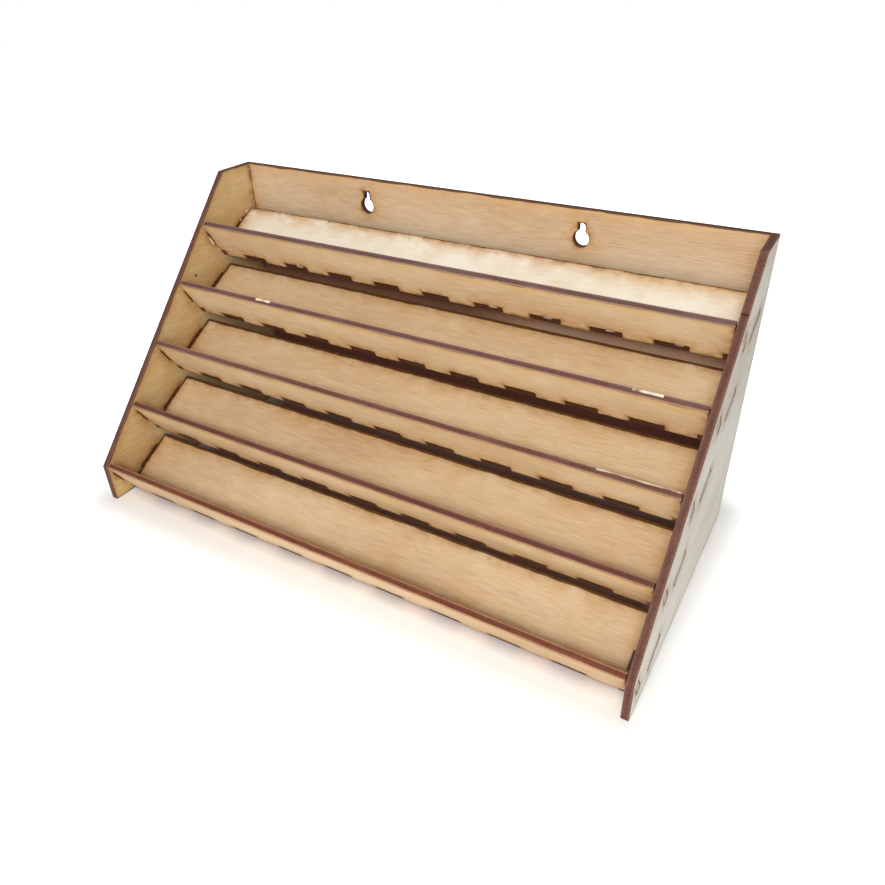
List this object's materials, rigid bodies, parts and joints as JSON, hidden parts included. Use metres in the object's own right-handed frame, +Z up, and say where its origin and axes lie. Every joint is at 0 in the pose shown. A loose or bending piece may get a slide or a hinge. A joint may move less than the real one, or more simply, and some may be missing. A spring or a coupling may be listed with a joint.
{
  "type": "tiered paint rack",
  "caption": "Tabletop rack of laser-cut plywood: sloping side panels hold tilted trays with front lips under a back panel with keyholes.",
  "frame": {"origin": "on the table, under the middle of the footprint", "axes": "+X along the width, towards the right panel seen from the front; +Y towards the back panel; +Z up"},
  "size_m": [0.35, 0.1708, 0.177],
  "materials": {
    "side_plywood": "matte",
    "back_plywood": "matte",
    "shelf_plywood": "matte",
    "lip_plywood": "matte"
  },
  "bodies": {
    "root": {"side_left": "side_plywood", "side_right": "side_plywood", "back_panel": "back_plywood", "shelf_1": "shelf_plywood", "shelf_2": "shelf_plywood", "shelf_3": "shelf_plywood", "shelf_4": "shelf_plywood", "shelf_5": "shelf_plywood", "lip_1": "lip_plywood", "lip_2": "lip_plywood", "lip_3": "lip_plywood", "lip_4": "lip_plywood", "lip_5": "lip_plywood"}
  },
  "joints": []
}
